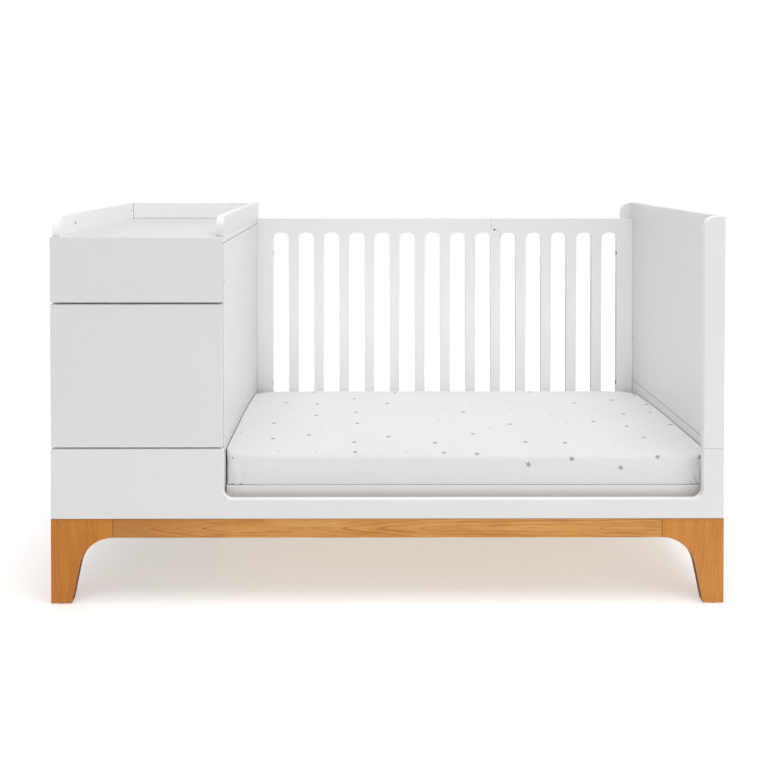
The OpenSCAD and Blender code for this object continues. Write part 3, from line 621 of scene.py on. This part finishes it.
def eased(node, width, material):
    """Gives a CAD node its material and the small rounding that its edges have."""
    piece = nodes[node]
    data = piece.data
    data.materials.clear()
    data.materials.append(material)
    for face in data.polygons:
        face.use_smooth = True
    weld = piece.modifiers.new("weld", "WELD")
    weld.merge_threshold = WELD_REACH
    flat = piece.modifiers.new("flat_faces", "DECIMATE")
    flat.decimate_type = "DISSOLVE"
    flat.angle_limit = math.radians(FLAT_ANGLE)
    bevel = piece.modifiers.new("eased_edges", "BEVEL")
    bevel.width = width
    bevel.segments = EDGE_STEPS
    bevel.limit_method = "ANGLE"
    bevel.angle_limit = math.radians(SHARP_ANGLE)
    bevel.harden_normals = True
    even = piece.modifiers.new("even_shading", "WEIGHTED_NORMAL")
    even.keep_sharp = True


# ---------- mattress ----------

# the block's mesh: the size of its cells, and the margin where they are half as large
CELL = 0.012
FINE_MARGIN = 0.045
ROUND_STEPS = 4
SIDE_STEPS = 7

# radii of the corners in plan, and of the rounding along the edges
FRONT_CORNER = 0.018
REAR_CORNER = 0.075
FRONT_ROUND = 0.012
REAR_ROUND = 0.036
END_ROUND = 0.003
UNDER_ROUND = 0.002

# how far the middle swells, the boards push up the edges at both ends and the rear corners sink,
# and how far from the rear the ends are at full height
CROWN = 0.003
CHANGER_END_RISE = 0.016
CRIB_END_RISE = 0.005
REAR_DROP = 0.008
RISE_REACH = 0.33

# the cover as cloth
CLOTH = {"quality": 5, "mass": 0.25, "tension_stiffness": 18.0, "compression_stiffness": 18.0,
         "shear_stiffness": 6.0, "bending_stiffness": 0.6}
CLOTH_PRESSURE = 4.0
CLOTH_FRAMES = 20
CLOTH_REACH = 0.003

# the sheet's distance from the core, the hem turned under, the height of the hem's turned lip,
# how far the ends press onto the boards, and where the flat cloth bends from the top to the sides
SHEET_GAP = 0.005
HEM = 0.055
HEM_LIP = 0.0015
END_PRESS = 0.0015
BEND_MARGIN = 0.05
BEND_DROP = 0.006

# the depth of each kind of fold, and where it lies: swells on the top, less towards its edge,
# puckers round a level below the top edge, less inwards, slack within a margin at the sides,
# gathers within a square at each lower corner, and ruffles in the hem. The turns are radians of
# the wave, to a radian round the corner and to a metre along the hem
SWELL = 0.0011
SWELL_FADE = 0.05
PUCKER = 0.0016
PUCKER_LEVEL = 0.012
PUCKER_HEIGHT = 0.03
PUCKER_FADE = 0.035
SLACK = 0.0014
FINE_SLACK = 0.0007
SLACK_MARGIN = 0.03
GATHER = 0.0042
GATHER_SIZE = 0.06
GATHER_TURNS = 26.0
RUFFLE = 0.0022
RUFFLE_TURNS = 240.0

# how steeply a face looks down to be cut out inside the hem, and a point to be ruffled
CUT_SLOPE = -0.6
RUFFLE_SLOPE = -0.5

# the middle part of the length, where the ends' rise isn't felt
LEVEL_REACH = 0.3


def spaced(low, high):
    """Positions from low to high, a cell apart, and half a cell apart in the margins."""
    steps = round(2.0 * FINE_MARGIN / CELL)
    margin = [FINE_MARGIN * i / steps for i in range(steps)]
    length = high - low - 2.0 * FINE_MARGIN
    cells = max(1, round(length / CELL))
    middle = [low + FINE_MARGIN + length * i / cells for i in range(cells + 1)]
    return [low + d for d in margin] + middle + [high - d for d in reversed(margin)]


def side_levels(low, top):
    """Heights from the block's underside to its top edge, dense where it is rounded."""
    lowest = low + UNDER_ROUND
    upright = top - FRONT_ROUND - lowest
    return sorted({low, low + 0.5 * UNDER_ROUND, lowest}
                  | {top - FRONT_ROUND * i / ROUND_STEPS for i in range(ROUND_STEPS + 1)}
                  | {lowest + upright * i / SIDE_STEPS for i in range(1, SIDE_STEPS)})


def rounded(u, w):
    """Moves a point of a unit square's outer edges onto the quarter circle inside it."""
    length = math.hypot(u, w)
    share = max(u, w) / length if length else 0.0
    return u * share, w * share


def mattress_form(low, high):
    """A foam block as large as the CAD mattress, with a slight crown, as a closed mesh of even
    quads. Its corners and edges are round, most at the rear, and least at its two ends, where the
    boards press on it and push its edges up."""
    top = high.z - CROWN
    grid = [spaced(low.x, high.x), spaced(low.y, high.y), side_levels(low.z, top)]
    last = [len(line) - 1 for line in grid]
    middle = (low + high) / 2.0
    outer = Vector((high.x - middle.x, high.y - middle.y))
    mesh = bmesh.new()
    made = {}

    def round_off(x, y, z):
        # the corner's radius in plan, then the outward direction and the distance inwards
        corner = FRONT_CORNER if y < middle.y else REAR_CORNER
        side = Vector((math.copysign(1.0, x - middle.x), math.copysign(1.0, y - middle.y)))
        inset = [outer.x - abs(x - middle.x), outer.y - abs(y - middle.y)]
        if max(inset) < corner:
            u, w = rounded(corner - inset[0], corner - inset[1])
            out = Vector((u, w)).normalized() if u or w else Vector((1.0, 0.0))
            depth = corner - math.hypot(u, w)
            base = Vector((outer.x - corner + u, outer.y - corner + w))
        else:
            out = Vector((1.0, 0.0)) if inset[0] < inset[1] else Vector((0.0, 1.0))
            depth = min(inset)
            base = Vector((outer.x - inset[0], outer.y - inset[1]))
        along = FRONT_ROUND if y < middle.y else REAR_ROUND
        top_round = END_ROUND * out.x ** 2 + along * out.y ** 2
        for level, sign, bend in ((top, -1.0, top_round), (low.z, 1.0, UNDER_ROUND)):
            rise = (z - level) * sign
            if depth < bend and rise < bend:
                u, w = rounded(bend - depth, bend - rise)
                base -= out * (bend - u - depth)
                z = level + sign * (bend - w)
        return Vector((middle.x + side.x * base.x, middle.y + side.y * base.y, z))

    def settle(point):
        # the crown, then the ends' rise, from the rear's drop to the full height
        x = 2.0 * abs(point.x - middle.x) / (high.x - low.x)
        y = 2.0 * abs(point.y - middle.y) / (high.y - low.y)
        height = (point.z - low.z) / (top - low.z)
        point.z += CROWN * height * (1.0 - x ** 4) * (1.0 - y ** 2.5)
        push = CHANGER_END_RISE if point.x < middle.x else CRIB_END_RISE
        back = min(1.0, max(0.0, (high.y - point.y) / RISE_REACH))
        lift = push * back * (2.0 - back) - REAR_DROP * (1.0 - back) ** 2
        point.z += lift * max(0.0, height) ** 2 * x ** 12

    def corner_of(i, j, k):
        if (i, j, k) not in made:
            point = round_off(grid[0][i], grid[1][j], grid[2][k])
            settle(point)
            made[i, j, k] = mesh.verts.new(point)
        return made[i, j, k]

    for axis in range(3):
        a, b = [other for other in range(3) if other != axis]
        for end in (0, last[axis]):
            for i in range(last[a]):
                for j in range(last[b]):
                    loop = []
                    for da, db in ((0, 0), (1, 0), (1, 1), (0, 1)):
                        index = [0, 0, 0]
                        index[axis], index[a], index[b] = end, i + da, j + db
                        loop.append(corner_of(*index))
                    mesh.faces.new(loop)
    bmesh.ops.recalc_face_normals(mesh, faces=mesh.faces)
    return mesh


def taut(even):
    """Lets the cover fill out over the foam as cloth under pressure, no point by more than
    CLOTH_REACH."""
    rest = [vert.co.copy() for vert in even.verts]
    piece = new_piece("cover_sim", even, bpy.data.materials.new("cover_sim"))
    cloth = piece.modifiers.new("cloth", "CLOTH")
    settings = cloth.settings
    for key, value in CLOTH.items():
        setattr(settings, key, value)
    settings.use_pressure = True
    settings.uniform_pressure_force = CLOTH_PRESSURE
    settings.effector_weights.gravity = 0.0
    cloth.collision_settings.use_collision = False
    scene = bpy.context.scene
    for step in range(1, CLOTH_FRAMES + 1):
        scene.frame_set(step)
    done = applied(piece)
    for vert, start in zip(done.verts, rest):
        move = vert.co - start
        if move.length > CLOTH_REACH:
            vert.co = start + move * (CLOTH_REACH / move.length)
    scene.frame_set(1)
    bpy.data.objects.remove(piece)
    return done


def fabric_place(point, low, high):
    """Where a point of the cover lies on the flat cloth: the top is the middle of the cloth, and
    the sides go on outwards from it."""
    core_x = min(max(point.x, low.x + BEND_MARGIN), high.x - BEND_MARGIN)
    core_y = min(max(point.y, low.y + BEND_MARGIN), high.y - BEND_MARGIN)
    out = Vector((point.x - core_x, point.y - core_y))
    drop = max(0.0, high.z - BEND_DROP - point.z)
    if out.length > 1e-6:
        out = out.normalized() * drop
    return point.x + out.x, point.y + out.y


def crease(value, sharp):
    """A fold's profile from noise, 0 to 1: narrow where it is deep, and broad between."""
    return (1.0 - abs(value)) ** sharp


def wrinkle(x, y, z):
    """The noise that folds are made from, about -1 to 1."""
    return noise.noise(Vector((x, y, z)))


def fold_depth(p, n, low, high):
    """How far a point p of the sheet, with the normal n, lies inwards in all its folds together."""
    centre = (low + high) / 2.0
    up = (p.z - low.z) / (high.z - low.z)
    side_x = min(p.x - low.x, high.x - p.x)
    side_y = min(p.y - low.y, high.y - p.y)
    edge = min(side_x, side_y)
    along = p.x if side_y < side_x else p.y
    depth = 0.0
    # broad swells of the top
    swell = wrinkle(p.x * 5.0, p.y * 6.5, 3.0)
    depth += SWELL * (0.5 + 0.5 * swell) * min(1.0, edge / SWELL_FADE)
    # puckers that run in from the top edge
    near_top = max(0.0, 1.0 - abs(p.z - high.z + PUCKER_LEVEL) / PUCKER_HEIGHT)
    pucker = crease(wrinkle(along * 21.0, 7.0 + edge * 6.0, 1.3), 3.0)
    depth += PUCKER * pucker * near_top * math.exp(-edge / PUCKER_FADE)
    # slack on the upright sides
    if edge < SLACK_MARGIN:
        broad = crease(wrinkle(along * 9.0 + p.z * 14.0, p.z * 30.0, 5.1), 4.0)
        fine = crease(wrinkle(along * 26.0 - p.z * 20.0, p.z * 16.0, 9.4), 3.0)
        bulge = math.sin(math.pi * min(1.0, max(0.0, up)))
        depth += (SLACK * broad + FINE_SLACK * fine) * bulge
    # gathers down the corners, from half height to the hem
    corner_x = max(0.0, abs(p.x - centre.x) - (high.x - centre.x - GATHER_SIZE))
    corner_y = max(0.0, abs(p.y - centre.y) - (high.y - centre.y - GATHER_SIZE))
    if corner_x > 0.0 and corner_y > 0.0:
        turn = math.atan2(corner_y, corner_x)
        pull = max(0.0, 1.0 - up * 1.25) ** 1.2 * math.sin(2.0 * turn) ** 0.6
        wander = 0.25 * wrinkle(p.z * 18.0, turn, centre.x + p.x)
        pleat = 0.5 + 0.5 * math.sin(GATHER_TURNS * (turn + wander))
        depth += GATHER * pull * (1.0 - pleat) ** 1.5
    # the elastic hem draws the underside into small folds
    if n.z < RUFFLE_SLOPE:
        wander = 2.0 * wrinkle(along * 9.0, 2.0, 0.0)
        ruffle = 0.5 + 0.5 * math.sin(along * RUFFLE_TURNS + wander)
        depth += RUFFLE * ruffle * min(1.0, edge / HEM)
    return depth


def fold(mesh, low, high):
    """The shallow wrinkles of a fitted sheet, all drawn inwards: puckers along the top edge, slack
    on the sides and tight gathers down the lower corners."""
    mesh.normal_update()
    highest = (high.x, high.y, high.z + CHANGER_END_RISE)
    moves = [-fold_depth(vert.co, vert.normal, low, high) * vert.normal for vert in mesh.verts]
    for vert, move in zip(mesh.verts, moves):
        vert.co += move
        vert.co = Vector([min(max(value, least), most)
                          for value, least, most in zip(vert.co, low, highest)])


def fill_box(mesh, low, high):
    """Stretches the cover to fill the mattress's own box, and at its ends to lie on the boards.
    Its height counts only in the middle part of its length."""
    press = Vector((END_PRESS, 0.0, 0.0))
    low, high = low - press, high + press
    middle = (low.x + high.x) / 2.0
    for axis in range(3):
        reach = [vert.co[axis] for vert in mesh.verts
                 if axis < 2 or abs(vert.co.x - middle) < LEVEL_REACH]
        start, end = min(reach), max(reach)
        scale = (high[axis] - low[axis]) / (end - start)
        for vert in mesh.verts:
            vert.co[axis] = low[axis] + (vert.co[axis] - start) * scale


def open_below(mesh, low, high):
    """Takes away the cover's underside inside its hem."""
    mesh.normal_update()
    inner = []
    for face in mesh.faces:
        at = face.calc_center_median()
        edge = min(at.x - low.x, high.x - at.x, at.y - low.y, high.y - at.y)
        if face.normal.z < CUT_SLOPE and edge > HEM:
            inner.append(face)
    bmesh.ops.delete(mesh, geom=inner, context="FACES")


def turn_hem(mesh):
    """A narrow lip at the hem, turned up against the core."""
    rim = [edge for edge in mesh.edges if edge.is_boundary]
    turned = bmesh.ops.extrude_edge_only(mesh, edges=rim)["geom"]
    for part in turned:
        if isinstance(part, bmesh.types.BMVert):
            part.co.z += HEM_LIP


def make_mattress(cotton, core_cover):
    """The foam core in its own cover, and the fitted sheet over it."""
    low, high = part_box("mattress")
    even = mattress_form(low, high)
    even = taut(even)

    # the foam core lies just under the sheet
    core = even.copy()
    core.normal_update()
    for vert in core.verts:
        vert.co -= SHEET_GAP * vert.normal
    core_piece = new_piece("mattress_core", core, core_cover)

    open_below(even, low, high)
    bmesh.ops.subdivide_edges(even, edges=even.edges, cuts=1, use_grid_fill=True, smooth=1.0)
    fold(even, low, high)
    fill_box(even, low, high)
    turn_hem(even)
    cloth_map = even.loops.layers.uv.new("cloth")
    for face in even.faces:
        for loop in face.loops:
            loop[cloth_map].uv = fabric_place(loop.vert.co, low, high)
    sheet = new_piece("fitted_sheet", even, cotton)

    for piece in (core_piece, sheet):
        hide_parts("mattress")
        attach(piece, "mattress")


# ---------- the part ----------

# light, middle and dark tones
OAK_DEEP = ((0.594, 0.228, 0.0302), (0.53, 0.182, 0.0185), (0.403, 0.111, 0.0084))
OAK_LEG = ((0.63, 0.261, 0.0539), (0.571, 0.215, 0.0347), (0.433, 0.133, 0.0139))
OAK_APRON = ((0.68, 0.34, 0.0936), (0.608, 0.275, 0.0603), (0.371, 0.124, 0.0146))
PINE = ((0.72, 0.55, 0.33), (0.66, 0.48, 0.26), (0.50, 0.30, 0.12))
BIRCH = ((0.74, 0.60, 0.40), (0.69, 0.54, 0.34), (0.58, 0.42, 0.23))

# the sprayed whites, lit and shaded copies of one paint: each board's tone is painted light or
# painted shade, set to how the light falls on that board, and some boards also take painted
# light or shade on their sides or with height
WHITES = {
    "white_satin_lacquer": {"tone": 0.765},
    "white_drawer_and_door": {"tone": 0.71, "reach": 0.0015},
    "white_changer_side": {"tone": 0.765, "joints": ((SEAM, 0.45), (TOP_SEAM, 0.7))},
    "white_rims": {"tone": 0.94},
    # painted shade: the end panel darker towards its top
    "white_end_panel": {"tone": 0.715, "joints": ((SEAM, 0.75),), "fade": (0.62, 0.95, 0.67)},
    # painted highlight: the changing board's edges that face right are lighter
    "white_changing_board": {"tone": 0.64, "roughness": 0.38, "painted_light_tone": 0.80, "facing": (RIGHT,)},
    # painted shade on the slats' sides that face left, and painted light low down: the rail is lighter
    # below than at its top
    "white_back_rail": {"tone": 0.92, "painted_light_tone": 0.45, "facing": (LEFT,), "fade": (0.58, 0.95, 0.765)},
    # painted highlight: the edges of the lower panels and posts that face right or up are lighter
    "white_lacquer_lit_edges": {"tone": 0.735, "painted_light_tone": 0.89},
    # painted light: the base frame lighter low down, where the front panel shades it, and darker at its
    # top
    "white_base_frame": {"tone": 0.96, "roughness": 0.42, "peel": 0.2, "reach": 0.002,
                         "fade": (0.243, 0.279, 0.82)},
}

# along, tones, pith, ring width, seed, strength of the figure, rises, slant, streaks, coarseness
OAK_PIECES = {
    "leg_front_left": (2, OAK_DEEP, (-0.97, -0.25), 0.0062, 21.0, 0.22, (), 0.03, 0.42, 210.0),
    "leg_front_right": (2, OAK_LEG, (0.60, -0.26), 0.0055, 34.0, 0.28, (), -0.07, 0.45, 240.0),
    "leg_rear_left": (2, OAK_LEG, (-0.70, 0.26), 0.0060, 47.0, 0.25, (), 0.05, 0.42, 220.0),
    "leg_rear_right": (2, OAK_DEEP, (0.97, 0.25), 0.0058, 58.0, 0.25, (), -0.03, 0.42, 210.0),
    "apron_front": (0, OAK_APRON, (-0.333, 0.187), 0.0080, 3.0, 1.0,
                    ((-0.78, -0.36, 0.040), (-0.27, 0.16, 0.030), (0.2, 0.8, 0.008)), 0.0, 0.45),
    "apron_rear": (0, OAK_APRON, (0.331, 0.180), 0.0080, 71.0, 0.80,
                   ((-0.5, -0.05, 0.035), (0.2, 0.7, 0.030)), 0.0, 0.40),
    "apron_left": (1, OAK_APRON, (-0.822, 0.184), 0.0080, 83.0, 0.80,
                   ((-0.2, 0.15, 0.030),), 0.0, 0.40),
    "apron_right": (1, OAK_APRON, (0.824, 0.190), 0.0080, 96.0, 0.80,
                    ((-0.1, 0.25, 0.030),), 0.0, 0.40),
}
OAK_EDGE = 0.0009
APRON_LATE = 0.26
APRON_FRONT_DEEP = (-0.62, -0.36, 0.55)

# what each slot is finished with, and the width of its eased edges
SLOT_FINISHES = {
    "white_lacquer": ("white_satin_lacquer", 0.0016),
    "white_melamine": ("white_matt_melamine", 0.0005),
    "pine": ("planed_pine", 0.0008),
    "birch": ("birch_plywood", 0.0009),
    "steel": ("zinc_plated_steel", 0.00025),
    "black_steel": ("black_oxide_steel", 0.0003),
    "grey_nylon": ("grey_moulded_nylon", 0.0003),
}

# the same for nodes that differ from their slot
NODE_FINISHES = {
    "lower_front_panel": ("white_lacquer_lit_edges", 0.0016),
    "lower_rear_panel": ("white_lacquer_lit_edges", 0.0016),
    "lower_right_panel": ("white_end_panel", 0.0016),
    "lower_divider": ("white_changer_side", 0.0016),
    "base_rail_front": ("white_base_frame", 0.001),
    "base_rail_rear": ("white_base_frame", 0.001),
    "base_end_left": ("white_base_frame", 0.001),
    "base_end_right": ("white_base_frame", 0.001),
    "end_panel": ("white_end_panel", 0.0016),
    "end_post_front": ("white_lacquer_lit_edges", 0.0016),
    "end_post_rear": ("white_lacquer_lit_edges", 0.0016),
    "back_rail_left": ("white_back_rail", 0.0022),
    "back_rail_right": ("white_back_rail", 0.0022),
    "cabinet_side_right": ("white_changer_side", 0.0016),
    "cabinet_top": ("white_changing_board", 0.0016),
    "rim_left": ("white_rims", 0.0016),
    "rim_back": ("white_rims", 0.0016),
    "drawer_front": ("white_drawer_and_door", 0.0016),
    "door": ("white_drawer_and_door", 0.0016),
}


def oak_marks(node, along):
    """Where a piece of the oak base has painted shade, dark joint lines or darker wood."""
    places = [corner.co for corner in nodes[node].data.vertices]
    marks = {"top": max(place.z for place in places)}
    if node.startswith("leg"):
        marks["inner"] = 1.0 if node.endswith("left") else -1.0
    else:
        runs = [place[along] for place in places]
        marks["ends"] = (min(runs), max(runs))
        marks["late"] = APRON_LATE
    if node == "apron_front":
        marks["deep"] = APRON_FRONT_DEEP
    return marks


def make_finishes():
    """Every finish of the CAD nodes, by its name."""
    made = [painted(name, **paint) for name, paint in WHITES.items()]
    made += [
        melamine("white_matt_melamine", (0.80, 0.80, 0.795)),
        metal("black_oxide_steel", (0.09, 0.09, 0.095), roughness=0.42),
        wood("planed_pine", 1, PINE, pith=(0.06, -0.03), ring=0.0045, seed=11.0, figure=0.7,
             streak=0.2, pores=0.0, fibre=0.06),
        wood("birch_plywood", 0, BIRCH, pith=(0.02, -0.05), ring=0.005, seed=17.0, figure=0.3,
             streak=0.25, pores=0.15, fibre=0.05),
        metal("zinc_plated_steel", (0.62, 0.63, 0.65), roughness=0.36),
        moulded("grey_moulded_nylon", (0.30, 0.30, 0.31), roughness=0.55),
    ]
    for node, grain in OAK_PIECES.items():
        made.append(wood("oak_" + node, *grain, **oak_marks(node, grain[0])))
    return {material.name: material for material in made}


def dress():
    """Gives every CAD node its finish, and makes the mattress."""
    finishes = make_finishes()
    for node, slot in slots.items():
        if slot == "mattress_cover":
            continue
        if slot == "oak":
            name, width = "oak_" + node, OAK_EDGE
        else:
            name, width = NODE_FINISHES.get(node, SLOT_FINISHES[slot])
        eased(node, width, finishes[name])
    make_mattress(printed_cotton("star_print_cotton", (0.765, 0.765, 0.76), (0.30, 0.30, 0.305)),
                  ticking("off_white_ticking", (0.72, 0.71, 0.69)))


studio()
dress()
